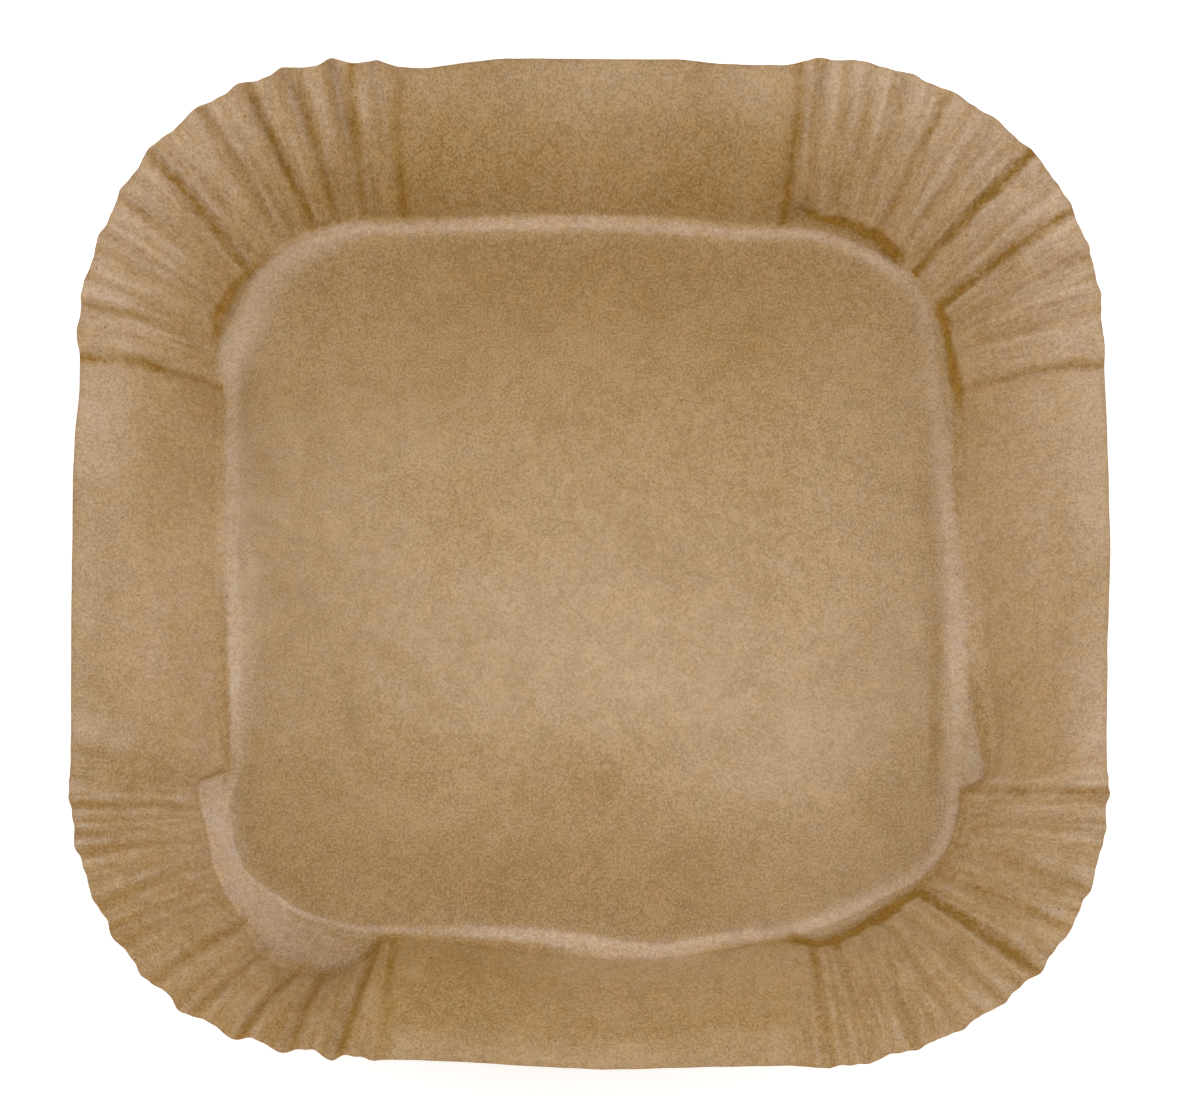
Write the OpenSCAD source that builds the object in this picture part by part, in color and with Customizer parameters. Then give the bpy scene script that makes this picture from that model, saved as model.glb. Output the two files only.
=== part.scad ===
// Paper liner for an air fryer basket.
// One sheet of baking paper is pressed into a shallow dish with a rounded-square base.
// The sheet keeps its area: part of the paper that each corner has to spare stands in radial
// pleats, and their depth grows from nothing at the fold to its full amount at the rim.
// The press folds a stack of sheets at once, so each fold strays a little from its even line.

/* [Base] */
// Width of the base, measured between opposite folds
base_w = 160; // [120:1:200]
// Radius of the base's corners at the fold
base_corner_r = 33; // [22:1:48]

/* [Crease] */
// Width of the raised crease that runs round the base inside the fold
crease_w = 5; // [3:0.5:8]
// Height of the raised crease above the base
crease_h = 0.8; // [0.3:0.1:1.5]

/* [Wall] */
// Width of the paper that stands up as the wall, measured along its slope
wall_l = 45; // [25:1:60]
// Slope of the wall just above the fold, in degrees from flat
wall_foot_deg = 63; // [50:1:75]
// Slope of the wall at the rim, in degrees from flat
wall_rim_deg = 36; // [20:1:45]
// How far the middle of each long side bows out at the rim
side_bow = 0.5; // [0:0.1:3]

/* [Pleats] */
// Number of pleats in each corner, counted by their ridges on the outside
pleats = 10; // [7:1:12]
// How much the pleats differ in depth, as a share of their mean depth
pleat_unevenness = 0.25; // [0:0.05:0.4]

/* [Paper] */
// Thickness of the paper
paper_t = 0.06; // [0.05:0.01:0.3]

/* [Hidden] */

kraft = [0.62, 0.50, 0.35];
corners = 4;
corner_deg = 360 / corners;

// Each corner's pleats: [bearing of the first ridge and of the last, in degrees round the
// corner's arc, depth as a share of the depth that would take up all of the spare paper]
corner_pleats = [[-2, 89, 0.5], [-2, 90, 0.85], [4, 92, 0.65], [2, 86, 0.5]];

// Where the fold lies outside its even line: [bearing from the middle of the base, distance]
fold_stray = [
    [0, 0.5], [16, -0.8], [46, -1.2], [58, 2], [62, -1], [80, 1.3], [100, 2], [120, 1],
    [128, 3], [137, 6], [148, 3], [151, 0], [190, -0.4], [206, -2.5], [209, 4], [215, 2.5],
    [230, 7.5], [237, 4], [241, -2.5], [262, -0.5], [280, 0.8], [299, -2.5], [307, -2.5], [313, -1],
    [330, 0.5], [334, 6], [350, 2], [360, 0.5]
];

// Where the rim lies outside its even line, in the same way
rim_stray = [
    [0, 0.5], [20, 0], [58, 0], [66, -3], [75, -2], [90, -1.5], [105, -2], [114, -3.5],
    [120, -1], [135, 1], [154, -1], [180, 0.5], [222, 1], [240, -1.5], [265, 0], [290, 0.5],
    [318, 0.5], [335, -1], [360, 0.5]
];

pitches = pleats - 1;
// Columns of points along a corner's arc, shared out evenly between its pleats
corner_columns = 72;
steps = floor(corner_columns / pitches);
// Plain columns along each long side, between the pleats that reach onto it
side_columns = 5;

// The top of the crease lies nearer to the fold than to the base
crease_top = 0.45;

// Where the wall's rings of points lie up the slope, as shares of its width
wall_rings = [0.05, 0.25, 0.5, 0.75, 1];

// The depth of the pleats wanders round a corner at this pace, and starts
// elsewhere in each corner, so that no two neighbours are alike
uneven_pace = 0.62;
uneven_start = 71;

side_l = base_w - 2 * base_corner_r;
corner_centre = base_w / 2 - base_corner_r;

// The wall's section is one arc, whose slope falls evenly from the foot to the rim
wall_arc_r = wall_l / (wall_foot_deg - wall_rim_deg) * 180 / PI;
function slope(l) = wall_foot_deg + (wall_rim_deg - wall_foot_deg) * l / wall_l;
function wall_out(l) = wall_arc_r * (sin(wall_foot_deg) - sin(slope(l)));
function wall_up(l) = wall_arc_r * (cos(slope(l)) - cos(wall_foot_deg));
rim_out = wall_out(wall_l);
rim_r = base_corner_r + rim_out;

// Where the fold strays, what the base gains in paper the wall loses.
// This is the wall's height there, as a share of its full one.
function rise(fold, rim) =
    sqrt((pow(wall_l - fold, 2) - pow(rim_out + rim - fold, 2))
        / (pow(wall_l, 2) - pow(rim_out, 2)));

// A corner's paper is an arc of radius base_corner_r + l, and it has only the arc of
// radius base_corner_r + wall_out(l) to stand on. A wave of this depth takes up the rest.
function spare_paper(l) = (base_corner_r + l) / (base_corner_r + wall_out(l)) - 1;
function pleat_pitch(l) = (base_corner_r + wall_out(l)) * PI / 2 / pitches;
function pleat_depth(l) = pleat_pitch(l) / PI * sqrt(spare_paper(l));

// The pleat wave at a place round a corner's arc, in degrees: 1 on a ridge, -1 in a valley.
// It starts and ends with the valleys beside the outermost ridges.
function pleat_wave(corner, place) =
    let (row = corner_pleats[corner % corners],
         phase = 360 * pitches * (place - row[0]) / (row[1] - row[0]))
    phase > -270 && phase < 360 * pitches + 270
        ? row[2] * cos(phase) * (1 + pleat_unevenness * sin(uneven_pace * phase
            + uneven_start * corner))
        : 0;

// A station is one column of points: [place of the even fold in plan, outward direction,
// pleat wave, share of the side's bow]
function turned(p, a) = [p[0] * cos(a) - p[1] * sin(a), p[0] * sin(a) + p[1] * cos(a)];
function corner_station(corner, i) =
    let (place = corner_deg * i / (pitches * steps), a = corner_deg * corner + place)
    [turned([corner_centre, corner_centre], corner_deg * corner)
        + base_corner_r * [cos(a), sin(a)],
     a, pleat_wave(corner, place), 0];
function side_station(corner, along, wave) =
    let (a = corner_deg * (corner + 1))
    [turned([base_w / 2, along - side_l / 2], a), a, wave, sin(180 * along / side_l)];

// The pleats reach onto each end of a side, for up to one pleat's width.
// On a short side they reach no further than this share of it.
edge_share = 0.4;
edge_l = min(pleat_pitch(wall_l), edge_share * side_l);
edge_step = edge_l / steps;
edge_place = edge_step / rim_r * 180 / PI;
plain_step = (side_l - 2 * edge_l) / (side_columns + 1);

function side_stations(corner) = [
    for (i = [1:steps])
        side_station(corner, i * edge_step,
            pleat_wave(corner, corner_deg + i * edge_place)),
    for (i = [1:side_columns])
        side_station(corner, edge_l + i * plain_step, 0),
    for (i = [steps:-1:1])
        side_station(corner, side_l - i * edge_step,
            pleat_wave(corner + 1, -i * edge_place))
];

stations = [
    for (corner = [0:corners - 1])
        each concat([for (i = [0:pitches * steps]) corner_station(corner, i)],
            side_stations(corner))
];

// A ring is one row of points: [distance out from the even fold, height, distance up the
// wall, share that it follows where the fold strays outward, where it strays inward, and
// where the rim strays]
rings = concat(
    [[-crease_w, 0, 0, 0, 1, 0],
     [-crease_w * crease_top, crease_h, 0, 0, 1, 0],
     [0, 0, 0, 1, 1, 0]],
    [for (share = wall_rings)
        let (l = share * wall_l, out = wall_out(l) / rim_out)
        [wall_out(l), wall_up(l), l, 1 - out, 1 - out, out]]
);

// A point in the middle of the paper's thickness
function middle(station, ring) =
    let (l = ring[2],
         bearing = (atan2(station[0][1], station[0][0]) + 360) % 360,
         fold = lookup(bearing, fold_stray),
         rim = lookup(bearing, rim_stray),
         stray = fold * (fold > 0 ? ring[3] : ring[4]) + rim * ring[5],
         up = ring[1] * (l > 0 ? rise(fold, rim) : 1),
         shift = station[2] * pleat_depth(l) + station[3] * side_bow * l / wall_l,
         out = ring[0] + stray + shift * sin(slope(l)),
         plan = station[0] + out * [cos(station[1]), sin(station[1])])
    [plan[0], plan[1], paper_t / 2 + up - shift * cos(slope(l))];

n_columns = len(stations);
n_rings = len(rings);
middles = [for (ring = rings) [for (station = stations) middle(station, ring)]];

// The paper's upward direction at a point, from the points around it.
// The base is level, so that the liner stands flat.
function unit(v) = v / norm(v);
function upward(r, c) =
    r == 0 ? [0, 0, 1]
    : unit(cross(
        middles[r][(c + n_columns - 1) % n_columns] - middles[r][(c + 1) % n_columns],
        middles[min(r + 1, n_rings - 1)][c] - middles[r - 1][c]));

// One face of the paper: 1 for the food side and -1 for the underside
function face_points(side) = [
    for (r = [0:n_rings - 1])
        for (c = [0:n_columns - 1])
            middles[r][c] + side * paper_t / 2 * upward(r, c)
];

n_face = n_columns * n_rings;
function index(face, r, c) = face * n_face + r * n_columns + c % n_columns;
function quad(a, b, c, d) = [[a, b, c], [a, c, d]];

// Each face's points run clockwise, as seen from outside the paper
top_faces = [
    for (r = [0:n_rings - 2]) for (c = [0:n_columns - 1])
        each quad(index(0, r, c), index(0, r, c + 1),
            index(0, r + 1, c + 1), index(0, r + 1, c))
];
under_faces = [
    for (r = [0:n_rings - 2]) for (c = [0:n_columns - 1])
        each quad(index(1, r, c), index(1, r + 1, c),
            index(1, r + 1, c + 1), index(1, r, c + 1))
];
rim_faces = [
    for (c = [0:n_columns - 1])
        each quad(index(0, n_rings - 1, c), index(0, n_rings - 1, c + 1),
            index(1, n_rings - 1, c + 1), index(1, n_rings - 1, c))
];
// Each face of the base is a fan of triangles about its middle
base_faces = [
    for (c = [0:n_columns - 1])
        each [[2 * n_face, index(0, 0, c + 1), index(0, 0, c)],
              [2 * n_face + 1, index(1, 0, c), index(1, 0, c + 1)]]
];

module liner() {
    color(kraft)
        polyhedron(
            points = concat(face_points(1), face_points(-1), [[0, 0, paper_t], [0, 0, 0]]),
            faces = concat(top_faces, under_faces, rim_faces, base_faces),
            convexity = 10);
}

liner();
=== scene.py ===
# The paper liner as it looks: one pressed sheet of kraft baking paper on a white table.
import math

import bpy
import numpy as np
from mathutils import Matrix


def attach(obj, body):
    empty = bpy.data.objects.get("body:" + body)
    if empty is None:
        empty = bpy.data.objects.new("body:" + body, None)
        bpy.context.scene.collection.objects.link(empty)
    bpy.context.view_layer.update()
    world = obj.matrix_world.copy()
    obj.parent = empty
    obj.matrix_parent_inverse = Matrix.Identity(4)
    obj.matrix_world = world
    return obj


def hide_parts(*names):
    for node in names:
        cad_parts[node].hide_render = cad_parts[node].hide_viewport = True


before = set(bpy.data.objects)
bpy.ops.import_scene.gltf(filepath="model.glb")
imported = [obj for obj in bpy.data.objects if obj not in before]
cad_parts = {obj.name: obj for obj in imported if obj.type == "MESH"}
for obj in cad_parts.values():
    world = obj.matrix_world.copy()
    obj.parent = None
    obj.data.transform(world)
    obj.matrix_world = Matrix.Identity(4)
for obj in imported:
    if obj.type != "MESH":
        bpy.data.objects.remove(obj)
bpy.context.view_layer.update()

MM = 0.001

# Sizes that the source also has, in mm and degrees
BASE_W = 160
BASE_CORNER_R = 33
WALL_L = 45
WALL_FOOT_DEG = 63
WALL_RIM_DEG = 36
PLEATS = 10
PAPER_T = 0.06

# Columns of points round the dish, for half of a corner's arc and for a side
HALF_ARC_COLUMNS = 64
SIDE_COLUMNS = 50
# How much finer the columns of a side are near its ends, from 0 to 1
SIDE_GRADING = 0.45
# Rings of points from the middle part of the base to the foot of the wall, and up the wall
BASE_RINGS = 23
WALL_RINGS = 33
# The rings crowd towards the foot of the wall by these powers
BASE_CROWDING = 1.35
WALL_CROWDING = 1.3
# The middle part of the base ends this far inside the fold
MIDDLE_INSET = 16
# The border of the net of points in it, as a share of the base's innermost ring
NET_SHARE = 0.985

CORNER_CENTRE = BASE_W / 2 - BASE_CORNER_R
SIDE_L = BASE_W - 2 * BASE_CORNER_R

# Where the wall's foot lies, in mm outside the even fold, at a bearing from the middle
FOOT_OUT = (
    (-26, 5.2), (-20, 3.6), (-10, 1.2), (6, 0.3), (16, -0.8), (27, 0.2), (28.5, -0.9),
    (31, -1.4), (35, -1.3), (38.5, -1), (41.5, -1.2), (45.5, -1.2), (49, -0.2), (51, 1),
    (52.3, 0.5), (54, 1.4), (57, 1.4), (59.3, 2.5), (60.5, 3.2), (61.5, 0.8), (62.5, -1.2),
    (69, -0.6), (79, 0.8), (90, 1.2), (101, 1.2), (111, 0.5), (120, 0.7), (127, 1.2),
    (133, 1.4), (136, 2.2), (140, 3.2), (144, 3.2), (146.5, 2.6), (149, 2), (151, 0),
    (160, 0.2), (175, -0.3), (189, -0.4), (199, -0.9), (204, -1.7), (207.6, -2.8),
    (208.4, 2.3), (209, 4), (212, 3.1), (215, 2.3), (218, 3.3), (221, 3.9), (225, 4.5),
    (227, 6.2), (230, 7.5), (233, 6.1), (235, 6.5), (237, 4.2), (239.3, 0.7), (240.3, -2.2),
    (243, -2.9), (251, -1.9), (261, -0.5), (270, 0.4), (280, 0.8), (289, -0.3), (298, -2.5),
    (301, -1), (304, -1.7), (308, -3), (313, -3.3), (316, -2.3), (319, -2.1), (323, -0.8),
    (326, -0.4), (330.3, 0.5), (331.2, 5.4), (333, 5.6),
)
# Width of the strip between the crest of the fold and the wall's foot
STRIP_W = (
    (26, 0), (28, 0.6), (35, 0.6), (38.5, 0), (42, 0.1), (45, 0.4), (47, 1.5), (49.5, 2.9),
    (51, 4.2), (53, 4.3), (56, 4.9), (59, 4.3), (61, 2.5), (62.5, 0), (116, 0), (117, 0.6),
    (124, 0.6), (132.5, 0.6), (136, 1.2), (140, 2.3), (143, 2.2), (145.5, 1.2), (147, 0.8),
    (149, 0), (207.6, 0), (209, 5.1), (212, 5.2), (215.5, 4.6), (220.5, 4.5), (224, 6.4),
    (227, 9.2), (232, 9.4), (236, 7.5), (239.4, 2.1), (241, 0), (297, 0), (299, 1),
    (304, 1.3), (308, 1.1), (313, 0.9), (317, 0.8), (321, 1), (328, 1.2), (331, 1.2),
    (333, 0),
)
# Where the base starts to rise to the fold
BAND_START = (
    (-26, -2.3), (-19.5, -3.6), (-10, -4), (6, -4.4), (16, -5.4), (28, -4), (36, -3.6),
    (40, -2.6), (46, -3.8), (50, -5), (54, -5.7), (58, -3.8), (62, -2.8), (69, -2.8),
    (79, -1.9), (90, -0.8), (101, -1.2), (111, -1.5), (120, -1.9), (123, -2.5), (130, -4),
    (140, -6), (147, -4.6), (151, -1.7), (160, -4.2), (175, -5.2), (189, -6.1), (199, -6),
    (204, -5.1), (207.7, -3.7), (209, -2.3), (212, -3.3), (215.5, -3.4), (220.5, -1.5),
    (224, -1.9), (227, -3.4), (232, -3.2), (236, -3.2), (239.5, -2.8), (243, -3.6),
    (251, -5.3), (261, -4.2), (270, -3.2), (280, -1.2), (289, -3.2), (298, -3.9),
    (302, -6.2), (307, -7.7), (313, -7), (317, -5.5), (319, -4.6), (323.5, -3.9),
    (328, -2.9), (331, -3.4),
)
# Slope of the band that rises to the fold, and of the strip beyond its crest, in degrees
BAND_DEG = (
    (0, 6), (45, 8), (90, 7), (135, 7), (180, 6), (210, 9), (240, 7), (270, 4), (300, 5),
    (330, 6),
)
STRIP_DEG = (
    (20, -10), (70, -10), (110, -6), (160, -6), (200, 6.5), (222, 6.5), (230, 3), (243, -1),
    (290, -10), (340, -10),
)
# Where the fold's pale line lies, in mm outside the even fold; it is partly wear, partly a
# painted highlight
LINE_AT = (
    (0, -1), (6, -1.5), (12, -2.7), (22, -3), (27, -4.4), (36, -4.4), (40, -2), (45, -2),
    (49, -3), (54, -3), (59, -2), (68, -1.8), (78, -0.5), (84, 0.2), (90, 0.6), (102, 0.2),
    (112, -0.2), (117, -0.5), (126, 0), (134, 0.4), (138, -0.5), (142, -2.2), (150, -1),
    (160, -1.5), (175, -1.5), (186, -2.7), (207, -3), (212, -1), (220, -0.8), (226, -3),
    (230, -3.4), (234, -4.3), (245, -3.5), (258, -3), (265, -2.5), (270, -1.6), (276, -0.2),
    (282, 0.2), (288, -1.7), (297, -2.9), (301, -4.7), (306, -6.1), (311, -6.6),
    (315, -5.2), (320, -2.6), (329, -1.6), (340, -1), (354, -1),
)
# How pale that line is, from 0 to 1: partly wear, partly a painted highlight
LINE_WEAR_AND_HIGHLIGHT = (
    (0, 0.95), (12, 0.8), (20, 0.35), (36, 0.3), (40, 0.4), (45, 0.6), (49, 1.1), (53, 0.8),
    (59, 0.95), (63, 0.7), (70, 0.85), (90, 0.9), (107, 0.9), (117, 0.7), (124, 1),
    (135, 0.75), (140, 0.6), (149, 1), (153, 0.6), (163, 0.65), (174, 0.9), (182, 1.1),
    (197, 1.1), (202, 0.8), (207, 0.5), (212, 0.9), (220, 0.9), (226, 1.1), (230, 0.9),
    (234, 0.6), (239, 0.8), (245, 0.6), (249, 0.65), (254, 0.95), (270, 1.15), (288, 1.1),
    (293, 1), (297, 0.75), (301, 1.1), (310, 0.8), (315, 0.7), (324, 0.95), (330, 0.7),
    (333, 0.4), (338, 0.75), (348, 1.25), (354, 1.15),
)
# How far its paleness reaches in over the base, and out over the wall, in mm
LINE_IN = (
    (0, 2.5), (12, 1.8), (27, 4), (45, 4), (50, 2), (60, 1.3), (68, 2), (90, 2.4), (110, 2),
    (121, 2.5), (130, 5), (142, 5), (149, 3), (153, 2), (165, 2.6), (180, 2.4), (200, 2.2),
    (207, 2), (212, 0.8), (225, 0.6), (235, 0.7), (250, 2), (262, 2), (270, 1.5),
    (282, 1.4), (290, 1.8), (300, 2.8), (310, 3), (320, 2.5), (330, 1.5), (340, 1.4),
    (350, 2.4),
)
LINE_OUT = (
    (0, 4), (12, 2), (20, 2), (27, 0.8), (38, 0.8), (41, 3), (45, 1.5), (50, 1.2),
    (60, 1.4), (68, 1.4), (73, 2), (90, 2), (112, 2), (118, 1.4), (126, 1.6), (130, 2.5),
    (135, 3.5), (138, 2), (142, 2), (146, 4), (150, 4), (153, 1.3), (158, 2), (168, 3),
    (180, 2.6), (192, 1.6), (200, 1), (207, 1), (212, 1.2), (225, 0.9), (239, 0.7),
    (248, 0.9), (253, 1.2), (258, 1.8), (265, 3.5), (272, 4.5), (282, 5), (287, 3),
    (292, 1.4), (297, 1), (301, 0.8), (315, 0.6), (318, 1), (324, 1.4), (330, 0.9),
    (334, 1.5), (348, 4),
)
# How pale the strip between the crest and the wall's foot is: partly wear, partly painted sheen
STRIP_WEAR_AND_SHEEN = (
    (26, 0), (116, 0), (207, 0), (208.5, 1), (213, 1.3), (222, 1.3), (225, 1), (229, 0.6),
    (236, 0.3), (240, 0), (330.4, 0), (331.2, 0.75), (339, 0.6), (345, 0.4), (350, 0.25),
    (358, 0),
)
# How brown that strip is
STRIP_BROWN = ((0, 0), (132, 0), (136, 0.6), (141, 0.85), (146, 0.8), (148, 0), (360, 0))
# How brown the stripe of the base inside the fold's line is: painted shade beside the fold
INNER_BROWN = (
    (0, 0.15), (12, 0.25), (18, 0.1), (25, 0), (75, 0), (82, 0.12), (118, 0.12), (122, 0),
    (206, 0), (210, 0.15), (216, 0.15), (220, 0.25), (228, 0.3), (233, 0.1), (238, 0),
    (325, 0), (330, 0.3), (334, 0.5), (340, 0.35), (348, 0.35), (354, 0.25),
)
# Where that stripe lies, in mm outside the line, and half its width
INNER_AT = -4.5
INNER_REACH = 1.8
# How far the bend at the wall's foot reaches up the wall, in mm
TURN_L = (
    (0, 5.5), (8, 4), (20, 2), (27, 0.6), (60, 0.6), (64, 1.5), (116, 1.5), (124, 1),
    (132, 1), (136, 0.4), (146, 0.4), (149, 1.5), (165, 3), (195, 3), (205, 1), (208, 0.4),
    (209, 1.2), (223, 1.5), (227, 3), (235, 3), (240, 0.6), (250, 1.5), (270, 3),
    (288, 1.5), (300, 0.5), (330, 0.6), (331.2, 1), (333, 3), (338, 5), (348, 6),
)
# Painted sheen on the wall: how pale it is near its foot, half way up and near the rim
WALL_PAINTED_SHEEN = (
    (
        (0, 0.43), (12, 0.42), (26, 0.33), (38, 0.35), (45, 0.25), (52, 0.5), (59, 0.15),
        (64, 0), (78, 0.04), (90, 0.08), (102, 0.06), (112, 0), (121, 0), (135, 0.25),
        (149, 0.2), (158, 0.2), (168, 0.35), (176, 0.5), (200, 0.5), (211, 0.5), (220, 0.35),
        (228, 0.3), (239, 0), (250, 0), (258, 0.1), (266, 0.25), (282, 0.35), (296, 0.25),
        (308, 0.28), (322, 0.35), (329, 0.45), (340, 0.2), (352, 0.4),
    ),
    (
        (0, 0.45), (12, 0.5), (26, 0.5), (38, 0.45), (52, 0.4), (59, 0.15), (64, 0.05),
        (78, 0.12), (90, 0.17), (102, 0.1), (112, 0), (121, 0.1), (128, 0.25), (142, 0.45),
        (149, 0.37), (156, 0.3), (176, 0.35), (186, 0.5), (194, 0.6), (200, 0.5), (206, 0.25),
        (213, 0.25), (220, 0.2), (230, 0.1), (239, 0.05), (250, 0), (258, 0.05), (266, 0.2),
        (282, 0.15), (296, 0.1), (301, 0.25), (322, 0.25), (329, 0.4), (336, 0.3),
        (348, 0.35),
    ),
    (
        (0, 0.15), (12, 0.15), (20, 0.3), (28, 0.6), (52, 0.6), (60, 0.5), (66, 0.3),
        (78, 0.15), (90, 0.2), (102, 0.12), (112, 0.15), (121, 0.35), (130, 0.5), (142, 0.5),
        (152, 0.45), (160, 0.35), (170, 0.2), (184, 0), (192, 0.05), (200, 0.05), (211, 0.05),
        (220, 0), (235, 0), (244, 0), (270, 0), (290, 0), (301, 0), (315, 0.15),
        (322, 0.1), (328, 0.4), (334, 0.85), (341, 0.6), (348, 0.2),
    ),
)
# The distances up the wall that these three hold for, in mm
WALL_PAINTED_SHEEN_AT = (10, 24, 40)
# Patches of painted shade on the base; where the strength is below zero they are painted sheen:
# [x, y, reach in x, reach in y, strength]
BASE_SHADE_AND_SHEEN = (
    (0, 70, 62, 16, 0.32), (-22, 60, 18, 16, 0.12), (12, 68, 16, 14, 0.1),
    (0, -68, 66, 15, 0.34), (68, -50, 13, 22, 0.25), (-34, -64, 22, 14, 0.06),
    (0, -45, 9, 7, 0.3), (-28, 14, 12, 10, 0.15), (58, 30, 18, 45, -0.2),
)
# How brown the crease at the wall's foot is: partly the crease's colour, partly painted shade in
# its valley
FOOT_BROWN = (
    (24, 0), (28, 1.1), (37.5, 1.2), (39.5, 0.1), (45.5, 0.1), (47.5, 1.3), (58.5, 1.3),
    (60.5, 0.2), (70, 0), (115, 0.2), (133, 0.2), (137, 0.9), (139, 0.8), (145, 1),
    (147, 0.2), (152, 0), (206, 0), (238, 0.3), (240, 0.9), (243, 0.2), (297, 0.1),
    (299, 1.3), (315, 1.4), (317, 0.5), (322, 0.3), (331, 0.15), (336, 0),
)
# The rim's bearings are taken at this even distance outside the fold
RIM_EVEN_OUT = 29
# How far the rim lies outside the even fold in plan, at such a bearing from the middle
RIM_OUT = (
    (0, 29.3), (15, 29.3), (25, 29), (35, 29.2), (40, 29.6), (45, 29), (55, 28.7),
    (61, 28.8), (65, 28.6), (69, 25.8), (72, 25.6), (76, 26.2), (80, 27.6), (90, 27.8),
    (100, 27.8), (104, 26.6), (108, 25), (111, 25.2), (114, 27), (122, 28.4), (130, 29.5),
    (137, 30), (145, 29), (155, 29.2), (159, 28.2), (162, 28.2), (167, 29.2), (172, 29.6),
    (180, 29.4), (190, 29.1), (200, 28.9), (210, 29.5), (217, 29.7), (222, 29.6),
    (230, 28.7), (236, 27.6), (242, 26.5), (250, 27.4), (257, 27.8), (265, 28.7),
    (272, 29.2), (282, 28.8), (290, 28.6), (297, 29.2), (300, 28.6), (308, 28.6),
    (318, 29.6), (327, 29), (335, 28.4), (341, 27.9), (350, 28), (356, 28.8),
)

# The grooves of each corner, with bearings about the corner's centre, counted from the
# corner's first side: [bearing at the rim, at the foot, depth at the rim, at the foot,
# brown at the rim, at the foot]
# A groove's brown is partly the crease's own colour and partly painted shade in the groove
GROOVES = (
    (
        (-2.5, -8, 0.35, 0.6, 0.7, 0.5),
        (8, 6.8, 0.3, 0.35, 0.4, 0.3),
        (18, 17.2, 0.3, 0.5, 0.5, 0.4),
        (27.5, 25.4, 0.4, 0.9, 0.7, 1),
        (40.5, 41.9, 0.55, 1, 1, 1),
        (49.5, 49.9, 0.4, 0.4, 0.15, 0),
        (60, 62, 0.5, 0.6, 0.5, 0.6),
        (69, 70, 0.45, 0.4, 0.2, 0.2),
        (79.5, 80, 0.5, 0.4, 0.15, 0.1),
        (89, 98, 0.7, 1, 0.8, 1),
    ),
    (
        (-1.5, -9.9, 1, 1, 0.4, 1),
        (8, 4.9, 1.15, 0.7, 0.8, 0.6),
        (18, 15.3, 1.1, 0.6, 0.6, 0.6),
        (27.5, 23.5, 0.9, 0.8, 0.75, 0.8),
        (37, 36, 0.8, 0.6, 0.5, 0.2),
        (49, 51.7, 0.7, 1.1, 0.8, 0.9),
        (59, 59.5, 0.5, 0.4, 0.6, 0.1),
        (69.5, 70, 0.45, 0.4, 0.35, 0.05),
        (80, 79.5, 0.45, 0.7, 0.6, 0.3),
        (90, 96.3, 0.6, 1.1, 1, 0.7),
    ),
    (
        (4.5, 4.5, 0.4, 0.6, 0.3, 0.4),
        (14, 14.2, 0.4, 0.5, 0.2, 0.2),
        (24.5, 22.5, 0.4, 0.6, 0.3, 0.2),
        (33.5, 34.2, 0.5, 0.7, 0.4, 0.3),
        (42.5, 45.3, 0.6, 0.8, 0.5, 0.6),
        (52.7, 55.7, 0.7, 0.7, 0.4, 0.5),
        (63, 68, 0.75, 0.8, 0.9, 0.6),
        (73, 75.3, 0.8, 0.8, 0.6, 0.8),
        (83.5, 92.6, 0.8, 1.1, 0.8, 0.9),
        (92, 99, 0.4, 0.8, 0, 1),
    ),
    (
        (1.8, 0.7, 0.35, 0.6, 0.3, 1),
        (9.6, 9.5, 0.3, 0.3, 0.05, 0.7),
        (20, 20, 0.3, 0.4, 0.3, 0.2),
        (28, 29.6, 0.3, 0.6, 0.3, 0.2),
        (38.5, 37.9, 0.35, 0.7, 0.3, 0.3),
        (47.5, 47.8, 0.6, 1, 1, 1.1),
        (58, 58, 0.35, 0.6, 0.6, 0.6),
        (67, 71, 0.35, 0.6, 0.35, 0.4),
        (78, 81, 0.3, 0.5, 0.35, 0.3),
        (86, 92, 0.4, 0.6, 0.6, 0.6),
    ),
)
# How far each corner's brown lines lie from its grooves at the rim, as a share of their
# bearing from the corner's middle, and in degrees
LEAN = ((0.07, 0), (0.09, 0), (0, 2), (0, 0))
# Half the width of the fold's pale line, as a share of its reach
LINE_WIDTH = 0.8
# Half the width of a groove's line in mm, and what a brown one is wider by
BROWN_REACH = 0.8
BROWN_WIDER = 0.4
# Where the thin pale line of painted light on each side of a brown one lies, and half of its
# width
PALE_AT = 1.8
PALE_REACH = 0.5
# How far beyond the outermost grooves the pleats fade out, in degrees
FADE_DEG = 8
# How round a groove's bottom is, as a share of the ridge's height
GROOVE_ROUND = 0.2
# A distance in mm, or a share, at which no line shows any more
FAR = 9.0
# The corners' bearings are set this far apart, so that each gets creases of its own
CORNER_APART = 200
# How brown the cut rim is, and how far inside it the last ring but one lies
RIM_BROWN = 0.45
RIM_RING = 0.35
# Low swells of the base: [x, y, reach in x, reach in y, height]
BASE_SWELLS = ((0, -10, 45, 30, 0.3), (-40, 30, 25, 25, -0.15), (35, 40, 30, 20, 0.12))
# Slopes at which the base falls towards its front, back and side folds, in degrees
FRONT_FALL_DEG = 1.3
BACK_FALL_DEG = 1.2
SIDE_FALL_DEG = 0.9
# Random ripples of the base: [wave length, height, seed]
BASE_RIPPLES = ((22, 0.03, 3), (8, 0.012, 4))
# The strip has its full slope, and its full wear and painted sheen, where it is at least this
# wide
FULL_STRIP_W = 1.5
# The band is at least this wide
LEAST_BAND_W = 1.2
# How softly the base turns up into the band, and down at the fold's crest
BAND_SOFT = 2.5
CREST_SOFT = 0.5
# How far the bend's matt zone reaches in over the base and up the wall, and how much further
# it reaches up for each mm of the bend
MATT_IN = 0.8
MATT_UP = 1.2
MATT_WIDER = 0.6
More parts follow.
